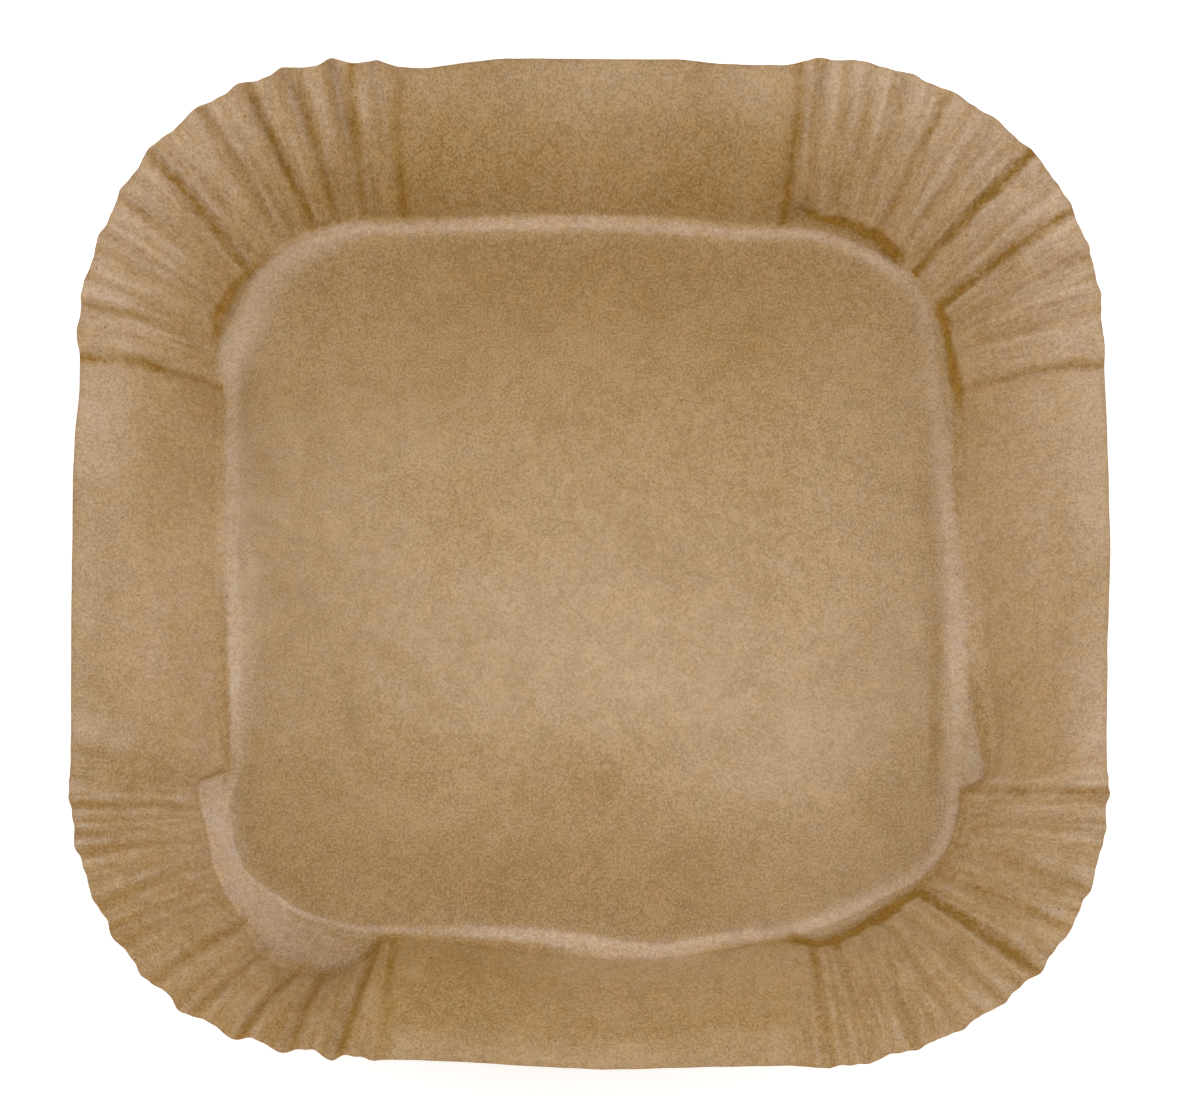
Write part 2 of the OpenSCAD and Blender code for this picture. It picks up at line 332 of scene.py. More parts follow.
# A jump of the foot is evened out over this many mm of the fold, up to this far up the wall
EVEN_ALONG = 5
EVEN_UP = 7
# The wall's chord as a share of its arc, and how much a wide bend at its foot pushes it out
CHORD_SHARE = 0.99
TURN_PUSH = 0.24
# Steps in which the wall's section is added up from one ring to the next
FINE_STEPS = 8
# Depth of the wall's small creases at the rim
SMALL_DEPTH = 0.4
# Depth and wave length of the wall's wide swells, and of its ripples
SWELL_DEPTH = 0.2
SWELL_WAVE = 38
RIPPLE_DEPTH = 0.05
RIPPLE_WAVE = 9
# How pale the ridges and small crests are (painted light), and how brown the small grooves are
# (partly painted shade)
RIDGE_PAINTED_LIGHT = 0.2
CREST_PAINTED_LIGHT = 0.15
SMALL_BROWN = 0.25
# Wave lengths of the small creases, in degrees
SMALL_WAVES = (3.3, 4.6, 6.2)
# The bearings about a corner at which its pleated part starts and ends, and how far it fades in
PLEATED_FROM = -6
PLEATED_TO = 97
PLEATED_FADE = 8


def around(table, bearing):
    """The value at a bearing in degrees, from pairs of a bearing and a value."""
    bearings, values = np.array(table, float).T
    return np.interp(bearing, bearings, values, period=360)


def ramp(x, soft):
    """Zero below x = 0 and x above it, with a soft turn between."""
    return 0.5 * (x + np.sqrt(x * x + soft * soft))


def slope_of(degrees):
    return math.tan(math.radians(degrees))


def smooth_step(x):
    x = np.clip(x, 0, 1)
    return x * x * (3 - 2 * x)


def ripples(x, y, wave, seed, count=14):
    """Even, random ripples of about one wave length, from -1 to 1 or so."""
    chance = np.random.RandomState(seed)
    total = np.zeros_like(x, dtype=float)
    for _ in range(count):
        turn = chance.uniform(0, 2 * math.pi)
        pace = 2 * math.pi / (wave * chance.uniform(0.7, 1.5))
        start = chance.uniform(0, 2 * math.pi)
        total += np.cos((x * math.cos(turn) + y * math.sin(turn)) * pace + start)
    return total / math.sqrt(count)


# Columns: the even fold's plan points and their outward directions
def arc_columns(x, start):
    """Columns of half a corner's arc about a centre at x, from a bearing in degrees."""
    turns = [math.radians(start + 45 * i / HALF_ARC_COLUMNS) for i in range(HALF_ARC_COLUMNS)]
    return [(x + BASE_CORNER_R * math.cos(a), CORNER_CENTRE + BASE_CORNER_R * math.sin(a), a)
            for a in turns]


def quarter_columns():
    """Columns of one quarter, from the middle of a corner to the middle of the next."""
    side = []
    for i in range(SIDE_COLUMNS):
        u = i / SIDE_COLUMNS
        along = u - SIDE_GRADING * math.sin(2 * math.pi * u) / (2 * math.pi)
        side.append((CORNER_CENTRE - SIDE_L * along, BASE_W / 2, math.pi / 2))
    return np.array(arc_columns(CORNER_CENTRE, 45) + side + arc_columns(-CORNER_CENTRE, 90))


def all_columns():
    quarter = quarter_columns()
    parts = []
    for q in range(4):
        turn = q * math.pi / 2
        c, s = math.cos(turn), math.sin(turn)
        x, y, a = quarter.T
        parts.append(np.stack([x * c - y * s, x * s + y * c, a + turn], axis=1))
    return np.concatenate(parts)


columns = all_columns()
fold = columns[:, :2]
outward = np.stack([np.cos(columns[:, 2]), np.sin(columns[:, 2])], axis=1)
bearing = np.degrees(np.arctan2(fold[:, 1], fold[:, 0]))
n_columns = len(columns)

foot = around(FOOT_OUT, bearing)
strip = around(STRIP_W, bearing)
strip_share = smooth_step(strip / FULL_STRIP_W)
crest = foot - strip
band_start = np.minimum(around(BAND_START, bearing), crest - LEAST_BAND_W)
band_slope = np.tan(np.radians(around(BAND_DEG, bearing)))
strip_slope = np.tan(np.radians(around(STRIP_DEG, bearing)))
rim_plan = fold + outward * RIM_EVEN_OUT
rim_out = around(RIM_OUT, np.degrees(np.arctan2(rim_plan[:, 1], rim_plan[:, 0])))
line_at = around(LINE_AT, bearing)
line_wear_and_highlight = around(LINE_WEAR_AND_HIGHLIGHT, bearing)
line_in = around(LINE_IN, bearing)
line_out = around(LINE_OUT, bearing)
strip_wear_and_sheen = around(STRIP_WEAR_AND_SHEEN, bearing)
strip_brown = around(STRIP_BROWN, bearing)
inner_brown = around(INNER_BROWN, bearing)
turn_l = around(TURN_L, bearing)
wall_painted_sheen = [around(table, bearing) for table in WALL_PAINTED_SHEEN]
foot_brown = around(FOOT_BROWN, bearing)


# The base: a low height field over the plan
def base_swell(x, y):
    """Height of the base away from its band, at plan points."""
    z = np.zeros_like(x, dtype=float)
    for cx, cy, rx, ry, h in BASE_SWELLS:
        z += h * np.exp(-((x - cx) / rx) ** 2 - ((y - cy) / ry) ** 2)
    # The base falls a little towards each fold, and in front it does so from a clear edge,
    # which bends towards the front on both sides
    edge = -33.5 - 14.5 * smooth_step((x - 4) / 34) - 6 * smooth_step((-34 - x) / 26)
    z -= slope_of(FRONT_FALL_DEG) * ramp(edge - y, 2)
    z -= slope_of(BACK_FALL_DEG) * ramp(y - 30, 10)
    z -= slope_of(SIDE_FALL_DEG) * ramp(np.abs(x) - 45, 8)
    for wave, height, seed in BASE_RIPPLES:
        z += height * ripples(x, y, wave, seed)
    return z


def band_height(s):
    """Height that the band and the strip add at a distance s outside the even fold."""
    rise = band_slope * ramp(s - band_start, BAND_SOFT)
    return rise + strip_share * (strip_slope - band_slope) * ramp(s - crest, CREST_SOFT)


def line_layers(away):
    """What the material reads to draw the fold's pale line, partly wear and partly a painted
    highlight, at a distance away outside it.
    """
    reach = np.where(away < 0, line_in, line_out)
    return {"line_share": away / (LINE_WIDTH * reach), "line_wear_and_highlight": line_wear_and_highlight,
            "foot_brown": foot_brown}


def strip_paling(s):
    """How pale the strip is, with wear and painted sheen, at a distance s outside the even fold.
    """
    return strip_wear_and_sheen * strip_share * smooth_step((s - crest) / 0.8)


def wall_paling(l):
    """How pale the wall is at a distance l up from its foot: painted sheen, and the strip's wear
    and painted sheen where the strip ends.
    """
    low, middle, high = WALL_PAINTED_SHEEN_AT
    up = smooth_step((l - low) / (middle - low))
    top = smooth_step((l - middle) / (high - middle))
    wall = wall_painted_sheen[0] * (1 - up) + wall_painted_sheen[1] * up * (1 - top) + wall_painted_sheen[2] * top
    wall = wall * smooth_step(l / 4)
    strip_end = strip_wear_and_sheen * strip_share * (1 - smooth_step(l / (2 + 0.6 * turn_l)))
    return np.maximum(wall, strip_end)


def base_shade_and_sheen(x, y):
    """Painted shade on the base away from its folds, at plan points; below zero it is painted
    sheen.
    """
    brown = np.zeros_like(x, dtype=float)
    for cx, cy, rx, ry, strength in BASE_SHADE_AND_SHEEN:
        brown += strength * np.exp(-((x - cx) / rx) ** 2 - ((y - cy) / ry) ** 2)
    return brown


def base_rings():
    """Points and layers of the base's rings, from the middle part to the wall's foot."""
    rings, layers = [], []
    for j in range(BASE_RINGS + 1):
        share = 1 - (1 - j / BASE_RINGS) ** BASE_CROWDING
        s = -MIDDLE_INSET + (foot + MIDDLE_INSET) * share
        plan = fold + outward * s[:, None]
        z = band_height(s) + base_swell(plan[:, 0], plan[:, 1])
        rings.append(np.column_stack([plan, z]))
        on_strip = strip_brown * smooth_step((s - crest - 0.5) / 2)
        shade_and_sheen = base_shade_and_sheen(plan[:, 0], plan[:, 1])
        # A stripe of painted shade on the base just inside the fold's line
        inner = inner_brown * np.exp(-((s - line_at - INNER_AT) / INNER_REACH) ** 2)
        layers.append({"wear_and_painted_light": np.maximum(strip_paling(s), -shade_and_sheen),
                       "brown": np.maximum.reduce([shade_and_sheen, on_strip, inner]),
                       "matt": np.exp(-((foot - s) / MATT_IN) ** 2),
                       "foot_away": s - foot} | line_layers(s - line_at))
    return rings, layers


# The wall: a slope that eases from the foot to the rim, and pleats across it
def wall_out(l):
    r = WALL_L / math.radians(WALL_FOOT_DEG - WALL_RIM_DEG)
    slope = np.radians(WALL_FOOT_DEG + (WALL_RIM_DEG - WALL_FOOT_DEG) * l / WALL_L)
    return r * (math.sin(math.radians(WALL_FOOT_DEG)) - np.sin(slope))


def pleat_depth(l):
    """The depth at which pleats take up the paper that a corner has to spare."""
    radius = BASE_CORNER_R + wall_out(l)
    spare = (BASE_CORNER_R + l) / radius - 1
    pitch = radius * math.pi / 2 / (PLEATS - 1)
    return pitch / math.pi * np.sqrt(np.maximum(spare, 0))


def pleated_part(a):
    """How far bearings a about a corner lie in its pleated part, from 0 to 1."""
    return (smooth_step((a - PLEATED_FROM) / PLEATED_FADE)
            * smooth_step((PLEATED_TO - a) / PLEATED_FADE))


def wrinkles(corner, a):
    """Small creases between the pleats, from -1 to 1, at bearings a about a corner."""
    chance = np.random.RandomState(40 + corner)
    total = sum(np.cos(2 * math.pi * (a / wave + chance.uniform())) for wave in SMALL_WAVES)
    return total / len(SMALL_WAVES) * pleated_part(a)


def groove_wave(corner, a, radius, share):
    """The wave of one corner's pleats at bearings a, and where its grooves lie.

    The wave is 1 in a groove, which is a sharp turn, and -1 on the round ridge between two.
    Side is the distance from the nearest groove in mm, near falls from 1 in a groove to -1 on
    a ridge, and brown is how brown the nearest groove is."""
    grooves = np.array(GROOVES[corner])
    places = grooves[:, 0] + (grooves[:, 1] - grooves[:, 0]) * (1 - share) ** 1.5
    depths = grooves[:, 2] + (grooves[:, 3] - grooves[:, 2]) * (1 - share)
    browns = grooves[:, 4] + (grooves[:, 5] - grooves[:, 4]) * (1 - share)
    wave, brown = np.zeros_like(a), np.zeros_like(a)
    side, near = np.full_like(a, FAR), np.full_like(a, -1.0)
    for k in range(len(grooves) - 1):
        left, right = places[k], places[k + 1]
        u = (a - left) / (right - left)
        inside = (u >= 0) & (u < 1)
        u = np.clip(u, 0, 1)
        hump = np.sqrt(np.sin(math.pi * u) ** 2 + GROOVE_ROUND ** 2) - GROOVE_ROUND
        depth = depths[k] * (1 - u) + depths[k + 1] * u
        pitch = np.radians(right - left) * radius
        wave = np.where(inside, depth * (1 - 2 * hump), wave)
        side = np.where(inside, np.sin(2 * math.pi * u) * pitch / (2 * math.pi), side)
        near = np.where(inside, np.cos(2 * math.pi * u), near)
        brown = np.where(inside, np.where(u < 0.5, browns[k], browns[k + 1]), brown)
    for k, way in ((0, -1), (-1, 1)):
        away = way * (a - places[k])
        outside = (away >= 0) & (away < FADE_DEG)
        u = np.clip(away / FADE_DEG, 0, 1)
        wave = np.where(outside, depths[k] * (1 - u) ** 2.5, wave)
        side = np.where(outside, way * np.radians(away) * radius, side)
        near = np.where(outside, np.cos(math.pi * u), near)
        brown = np.where(outside, browns[k], brown)
    return wave, side, near, brown


def pleats_at(plan, share):
    """The pleats at one share of the wall, as columns of values for each point.

    They are the wave, the small creases, side, near, brown, the bearing about the corner
    and how far the point lies in the pleated part, from 0 to 1."""
    found = np.zeros((len(plan), 7))
    found[:, 2:4] = (FAR, -1)
    for corner in range(4):
        turn = corner * math.pi / 2
        c, s = math.cos(turn), math.sin(turn)
        x = plan[:, 0] * c + plan[:, 1] * s - CORNER_CENTRE
        y = -plan[:, 0] * s + plan[:, 1] * c - CORNER_CENTRE
        a = np.degrees(np.arctan2(y, x))
        radius = np.hypot(x, y)
        here = (a > -45) & (a < 135) & (radius < 120)
        wave = groove_wave(corner, a, radius, share)[0]
        lean, shift = LEAN[corner]
        leant = a - share * (lean * (a - 45) + shift)
        side, near, brown = groove_wave(corner, leant, radius, share)[1:]
        values = np.column_stack([wave, wrinkles(corner, a), side, near, brown,
                                  a + CORNER_APART * corner, pleated_part(a)])
        found[here] = values[here]
    return found.T


def soften(values, reach):
    """Values of the columns, evened out over about this many mm of the fold."""
    step = np.linalg.norm(np.roll(fold, -1, axis=0) - fold, axis=1)
    along = np.concatenate([[0], np.cumsum(step)])
    gap = np.abs(along[:-1, None] - along[None, :-1])
    gap = np.minimum(gap, along[-1] - gap)
    share = np.exp(-(gap / reach) ** 2) * step
    return share @ values / share.sum(axis=1)


def ring_length(k, length):
    """Distance of the wall's ring k up from its foot; the last but one follows the rim."""
    if k == WALL_RINGS:
        return length
    if k == WALL_RINGS - 1:
        return length - RIM_RING
    return length * (k / (WALL_RINGS - 1)) ** WALL_CROWDING


def wall_layers(l, length, pleats):
    """The layers of one ring of the wall, at a distance l up from its foot."""
    wave, small, side, near, brown, turn, pleated = pleats
    at_rim = RIM_BROWN * np.exp(-((length - l) / 0.3) ** 2)
    # Painted light on the ridges and the small crests
    ridge = RIDGE_PAINTED_LIGHT * np.clip(-wave, 0, 1) + CREST_PAINTED_LIGHT * np.maximum(-small, 0)
    return {
        "wear_and_painted_light": wall_paling(l) + ridge * (l / length) ** 0.5,
        "brown": np.maximum(at_rim, SMALL_BROWN * np.maximum(small, 0)),
        "foot_away": l,
        "matt": np.exp(-(l / (MATT_UP + MATT_WIDER * turn_l)) ** 2),
        "crease_side": side, "crease_near": near, "crease_brown": brown,
        "pleat_turn": turn, "pleat_up": l, "pleated": pleated * smooth_step(l / 6),
    } | line_layers(foot + l - line_at)


def wall_rings(foot_ring):
    """Points and layers of the wall's rings above the foot."""
    soft_foot = soften(foot, EVEN_ALONG)
    soft_z = soften(foot_ring[:, 2], EVEN_ALONG)
    length = WALL_L - soft_foot
    # The wall's section is an arc, and its mean slope is the one that puts the rim in place
    half_turn = (WALL_FOOT_DEG - WALL_RIM_DEG) / 2
    reach = rim_out - soft_foot - TURN_PUSH * turn_l
    mean_deg = np.degrees(np.arccos(reach / (length * CHORD_SHARE)))
    start = np.arctan(np.where(strip > 0.3, strip_slope, band_slope))
    out, up, last_l = np.zeros(n_columns), np.zeros(n_columns), np.zeros(n_columns)
    rings, layers = [], []
    for k in range(1, WALL_RINGS + 1):
        l = ring_length(k, length)
        step = (l - last_l) / FINE_STEPS
        for i in range(FINE_STEPS):
            mid = last_l + step * (i + 0.5)
            slope = np.radians(mean_deg + half_turn * (1 - 2 * mid / length))
            slope = start + (slope - start) * smooth_step(mid / turn_l)
            out += np.cos(slope) * step
            up += np.sin(slope) * step
        last_l = l
        near_foot = 1 - smooth_step(l / EVEN_UP)
        offset = soft_foot + out + (foot - soft_foot) * near_foot
        plan = fold + outward * offset[:, None]
        x, y = plan.T
        pleats = pleats_at(plan, (l / length)[0])
        wave, small = pleats[:2]
        shift = wave * pleat_depth(l) + SMALL_DEPTH * small * (l / length)
        shift = shift + SWELL_DEPTH * smooth_step(l / 12) * ripples(x, y, SWELL_WAVE, 6)
        shift = shift + RIPPLE_DEPTH * ripples(x, y, RIPPLE_WAVE, 7)
        plan = plan + outward * (shift * np.sin(slope))[:, None]
        z = soft_z + up + (foot_ring[:, 2] - soft_z) * near_foot - shift * np.cos(slope)
        rings.append(np.column_stack([plan, z]))
        layers.append(wall_layers(l, length, pleats))
    return rings, layers


# The middle part of the base: a square net of points inside the innermost ring
def net_points(edge):
    """Points of a square net whose border is the given loop, by blending its four sides."""
    n = len(edge) // 4
    loop = np.concatenate([edge, edge[:1]])
    top, left, bottom, right = (loop[q * n:(q + 1) * n + 1] for q in range(4))
    # The first index runs along the top side, and the second from it to the bottom
    bottom, right = bottom[::-1], right[::-1]
    grid = np.zeros((n + 1, n + 1, 2))
    for i in range(n + 1):
        for j in range(n + 1):
            s, t = i / n, j / n
            blend = (1 - t) * top[i] + t * bottom[i] + (1 - s) * right[j] + s * left[j]
            corners = ((1 - s) * (1 - t) * top[0] + s * (1 - t) * top[n]
                       + (1 - s) * t * bottom[0] + s * t * bottom[n])
            grid[i, j] = blend - corners
    return grid


def relax(grid, rounds=60):
    """Moves each inner point of the net towards the middle of its neighbours."""
    for _ in range(rounds):
        grid[1:-1, 1:-1] = (grid[:-2, 1:-1] + grid[2:, 1:-1]
                            + grid[1:-1, :-2] + grid[1:-1, 2:]) / 4
    return grid


# The layers of values that the material reads, and their values where nothing else is set
PLAIN = {
    "wear_and_painted_light": 0.0, "brown": 0.0, "crease_side": FAR, "crease_near": -1.0, "crease_brown": 0.0,
    "pleat_turn": 0.0, "pleat_up": 0.0, "pleated": 0.0, "line_share": -FAR, "line_wear_and_highlight": 0.0,
    "foot_away": -FAR, "foot_brown": 0.0, "matt": 0.0,
}


def ring_faces(n_rings):
    """Quads between each ring and the next."""
    faces = []
    for r in range(n_rings - 1):
        for c in range(n_columns):
            d = (c + 1) % n_columns
            faces.append((r * n_columns + c, (r + 1) * n_columns + c,
                          (r + 1) * n_columns + d, r * n_columns + d))
    return faces


def net_faces(index):
    """Faces of the net, and the triangles that join its border to the innermost ring."""
    n = len(index) - 1
    faces = []
    for i in range(n):
        for j in range(n):
            faces.append((index[i, j], index[i + 1, j], index[i + 1, j + 1], index[i, j + 1]))
    border = ([index[i, 0] for i in range(n)] + [index[n, j] for j in range(n)]
              + [index[n - i, n] for i in range(n)] + [index[0, n - j] for j in range(n)])
    for k in range(len(border)):
        a, b, c = 2 * k, 2 * k + 1, (2 * k + 2) % n_columns
        here, after = border[k], border[(k + 1) % len(border)]
        faces += [(here, a, b), (here, b, after), (after, b, c)]
    return faces


def one_face():
    """Points, faces and layers of values of the sheet's middle surface, and its rim."""
    base, layers_of_rings = base_rings()
    wall, layers_of_wall = wall_rings(base[-1])
    rings = base + wall
    layers_of_rings += layers_of_wall
    # Every second column goes on into the net
    inner = base[0][::2, :2] * NET_SHARE
    plan = relax(net_points(inner)).reshape(-1, 2)
    z = base_swell(plan[:, 0], plan[:, 1])
    points = np.concatenate(rings + [np.column_stack([plan, z])])
    n = len(inner) // 4
    index = len(rings) * n_columns + np.arange((n + 1) ** 2).reshape(n + 1, n + 1)
    # Painted shade on the net of the base, and painted sheen where it is below zero
    shade_and_sheen = base_shade_and_sheen(plan[:, 0], plan[:, 1])
    net_layer = {"brown": np.maximum(shade_and_sheen, 0), "wear_and_painted_light": np.maximum(-shade_and_sheen, 0)}
    layers = {}
    for name, plain in PLAIN.items():
        parts = [layer.get(name, np.full(n_columns, plain)) for layer in layers_of_rings]
        parts.append(net_layer.get(name, np.full(len(plan), plain)))
        layers[name] = np.concatenate(parts)
    rim = np.arange(n_columns) + (len(rings) - 1) * n_columns
    return points, ring_faces(len(rings)) + net_faces(index), layers, rim


def normals_of(points, faces):
    """Unit normals at the points of one face of the sheet."""
    total = np.zeros_like(points)
    for size in (3, 4):
        some = np.array([f for f in faces if len(f) == size])
        if size == 3:
            across = np.cross(points[some[:, 1]] - points[some[:, 0]],
                              points[some[:, 2]] - points[some[:, 0]])
        else:
            across = np.cross(points[some[:, 2]] - points[some[:, 0]],
                              points[some[:, 3]] - points[some[:, 1]])
        for k in range(size):
            np.add.at(total, some[:, k], across)
    return total / np.linalg.norm(total, axis=1)[:, None]


def mark_rim(mesh, rim, n):
    """Keeps a crisp edge along the cut rim, where the second face starts at point n."""
    cut = set()
    for a, b in zip(rim.tolist(), np.roll(rim, -1).tolist()):
        cut.add((min(a, b), max(a, b)))
        cut.add((min(a, b) + n, max(a, b) + n))
    sharp = mesh.attributes.new("sharp_edge", "BOOLEAN", "EDGE")
    sharp.data.foreach_set("value", [tuple(sorted(e.vertices)) in cut for e in mesh.edges])


def build_liner():
    """The sheet as a closed shell with both of its faces and its cut rim."""
    points, faces, layers, rim = one_face()
    normal = normals_of(points, faces)
    shell = np.concatenate([points + normal * PAPER_T / 2, points - normal * PAPER_T / 2])
    shell[:, 2] -= shell[:, 2].min()
    n = len(points)
    shell_faces = list(faces) + [tuple(n + i for i in reversed(f)) for f in faces]
    for a, b in zip(rim, np.roll(rim, -1)):
        shell_faces.append((a, n + a, n + b, b))
    mesh = bpy.data.meshes.new("liner_sheet")
    mesh.from_pydata((shell * MM).tolist(), [], [tuple(int(i) for i in f) for f in shell_faces])
    mesh.polygons.foreach_set("use_smooth", [True] * len(mesh.polygons))
    for name, values in layers.items():
        layer = mesh.attributes.new(name, "FLOAT", "POINT")
        layer.data.foreach_set("value", np.concatenate([values, values]).astype(np.float32))
    mark_rim(mesh, rim, n)
    mesh.validate()
    mesh.update()
    piece = bpy.data.objects.new("liner_sheet", mesh)
    bpy.context.collection.objects.link(piece)
    return piece


# Materials
class Nodes:
    """A short way to add nodes to a material and join them."""

    def __init__(self, name):
        self.material = bpy.data.materials.new(name)
        self.material.use_nodes = True
        self.tree = self.material.node_tree
        self.tree.nodes.clear()

    def add(self, kind, inputs=None, **settings):
        node = self.tree.nodes.new(kind)
        for key, value in settings.items():
            setattr(node, key, value)
        for key, value in (inputs or {}).items():
            self.put(node.inputs[key], value)
        return node

    def put(self, socket, value):
        if isinstance(value, bpy.types.NodeSocket):
            self.tree.links.new(value, socket)
        else:
            socket.default_value = value

    def math(self, operation, a, b=0.0, c=0.0, clamp=False):
        node = self.add("ShaderNodeMath", {0: a, 1: b, 2: c}, operation=operation)
        node.use_clamp = clamp
        return node.outputs[0]

    def scaled(self, vector, x, y, z):
        node = self.add("ShaderNodeVectorMath", {0: vector, 1: (x, y, z)},
                        operation="MULTIPLY")
        return node.outputs[0]

    def noise(self, vector, size, detail=2.0, roughness=0.5):
        node = self.add("ShaderNodeTexNoise", {
            "Vector": vector, "Scale": 1 / size, "Detail": detail, "Roughness": roughness})
        return node.outputs["Fac"]

    def spread(self, value, low, high, to_low=0.0, to_high=1.0):
        node = self.add("ShaderNodeMapRange", {
            "Value": value, "From Min": low, "From Max": high,
            "To Min": to_low, "To Max": to_high})
        return node.outputs["Result"]

    def value_of(self, name):
        return self.add("ShaderNodeAttribute", attribute_name=name).outputs["Fac"]

    def bell(self, value, reach):
        """A bell curve: 1 where the value is zero, and nearly 0 at twice the reach."""
        share = self.math("DIVIDE", value, reach)
        square = self.math("MULTIPLY", share, share)
        return self.math("EXPONENT", self.math("MULTIPLY", square, -1))

    def bump(self, height, depth, under=None):
        """A normal from heights that are this deep in mm, over another normal or a plain one."""
        inputs = {"Strength": 1.0, "Distance": depth * MM, "Height": height}
        if under is not None:
            inputs["Normal"] = under
        return self.add("ShaderNodeBump", inputs).outputs[0]

    def mix(self, factor, a, b, blend="MIX"):
        node = self.add("ShaderNodeMix", data_type="RGBA", blend_type=blend)
        self.put(node.inputs[0], factor)
        self.put(node.inputs[6], a)
        self.put(node.inputs[7], b)
        return node.outputs[2]


# The paper's pale and dark tone, between which its grain wanders: where it is plain, where
# it is worn and painted with light, and where it is creased and painted with shade
KRAFT_PALE = (0.432, 0.272, 0.119, 1)
KRAFT_DARK = (0.267, 0.145, 0.031, 1)
WORN_AND_LIT_PALE = (0.60, 0.44, 0.30, 1)
WORN_AND_LIT_DARK = (0.46, 0.31, 0.185, 1)
CREASED_AND_SHADED_PALE = (0.31, 0.155, 0.015, 1)
CREASED_AND_SHADED_DARK = (0.20, 0.09, 0.004, 1)
# What the colour is multiplied by in its warm and in its cool places
TINT_WARM = (1.03, 1, 0.90, 1)
TINT_COOL = (0.97, 1, 1.10, 1)
# The dark specks, their spacing in mm, and their radius as a share of it
SPECK = (0.10, 0.045, 0.015, 1)
SPECK_SPACING = 4.5
SPECK_R = 0.04
# The wall's paper was stretched as it was pressed, so its grain is longer up the slope
GRAIN_UP = 0.35
# How lightness wanders, from broad clouds to single fibres: [size, detail, roughness, strength]
CLOUDS = ((34, 3, 0.55, 0.6), (8, 4, 0.55, 0.8), (2.4, 3, 0.6, 1.0), (0.5, 3, 0.75, 4.6))
# Long fibres: [bearing in degrees, strength, which is below zero for dark ones]
FIBRES = ((20, 0.35), (80, -0.4), (140, 0.35))
# How fast the noise of the long fibres changes along and across them, per mm
FIBRE_PACE = (0.45, 4.5, 1)
# How ragged the fold's line is, as a share of its reach, and a groove's and the foot's, in mm
LINE_FRAY = 0.9
GROOVE_FRAY = 2.0
FOOT_FRAY = 2.5
# The least and the most that a groove's line is strengthened along its length
GROOVE_LEAST = 0.5
GROOVE_MOST = 1.4
# How pale the lines beside the grooves are: painted light on the ridges there
PALE_BESIDE = 0.28
# How fast the fine radial creases change, per degree round the corner and per mm up the wall
STREAK_ROUND = 0.4
STREAK_UP = 0.06
# How brown their grooves are (painted shade), how pale their crests are (painted light), and
# their depth in mm
STREAK_BROWN = 0.4
STREAK_PALE = 0.25
STREAK_DEPTH = 0.4
# Where the middle of the foot's brown line lies, in mm up the wall, at the least and at the
# most, half its width at the foot, and how much wider it is for each mm further up
FOOT_LOWEST = 0.3
FOOT_HIGHEST = 1.7
FOOT_REACH = 1.0
FOOT_WIDENING = 0.7
# The least and the most roughness of plain paper, and what creases and their painted shade,
# wear and its painted light, and the wall's bend add to it
ROUGH_LEAST = 0.24
ROUGH_MOST = 0.30
CREASED_AND_SHADED_ROUGHER = 0.4
WORN_AND_LIT_ROUGHER = 0.3
BEND_ROUGHER = 0.45
# Depths of the fibres and of the small dimples, in mm
FIBRE_DEPTH = 0.013
DIMPLE_DEPTH = 0.03


def paper_grain(n, mm):
    """How light the paper's grain is, about 0 in a dark place and 1 in a pale one."""
    clouds = [(n.noise(mm, size, detail, roughness), strength)
              for size, detail, roughness, strength in CLOUDS]
    level = 0.5 - sum(strength for _, strength in clouds) / 2
    for cloud, strength in clouds:
        level = n.math("MULTIPLY_ADD", cloud, strength, level)
    for angle, strength in FIBRES:
        turned = n.add("ShaderNodeVectorRotate", {
            "Vector": mm, "Axis": (0, 0, 1), "Angle": math.radians(angle)},
            rotation_type="AXIS_ANGLE").outputs[0]
        fibre = n.noise(n.scaled(turned, *FIBRE_PACE), 1, 1, 0.5)
        level = n.math("MULTIPLY_ADD", n.spread(fibre, 0.62, 0.72), strength, level)
    return n.spread(level, 0, 1)


def fold_line(n, fray):
    """The fold's pale line, partly wear and partly a painted highlight, which has an even tone
    across and falls off at its sides.
    """
    share = n.math("MULTIPLY_ADD", fray, LINE_FRAY, n.value_of("line_share"))
    fourth = n.math("POWER", n.math("MULTIPLY", share, share), 2)
    return n.math("DIVIDE", n.value_of("line_wear_and_highlight"), n.math("ADD", fourth, 1))


def groove_lines(n, mm, fray):
    """The brown line of each groove, partly the crease's colour and partly painted shade, and
    the two thin pale lines of painted light beside it.
    """
    strayed = n.math("MULTIPLY_ADD", fray, GROOVE_FRAY, n.value_of("crease_side"))
    near = n.value_of("crease_near")
    depth = n.value_of("crease_brown")
    groove = n.bell(strayed, n.math("MULTIPLY_ADD", depth, BROWN_WIDER, BROWN_REACH))
    groove = n.math("MULTIPLY", n.math("MULTIPLY", groove, depth), n.spread(near, 0, 0.3))
    along = n.spread(n.noise(mm, 6), 0.3, 0.7, GROOVE_LEAST, GROOVE_MOST)
    beside = n.math("SUBTRACT", n.math("ABSOLUTE", strayed), PALE_AT)
    pale = n.math("MULTIPLY", n.bell(beside, PALE_REACH),
                  n.spread(near, -0.9, 0, 0, PALE_BESIDE))
    return n.math("MULTIPLY", groove, along), pale


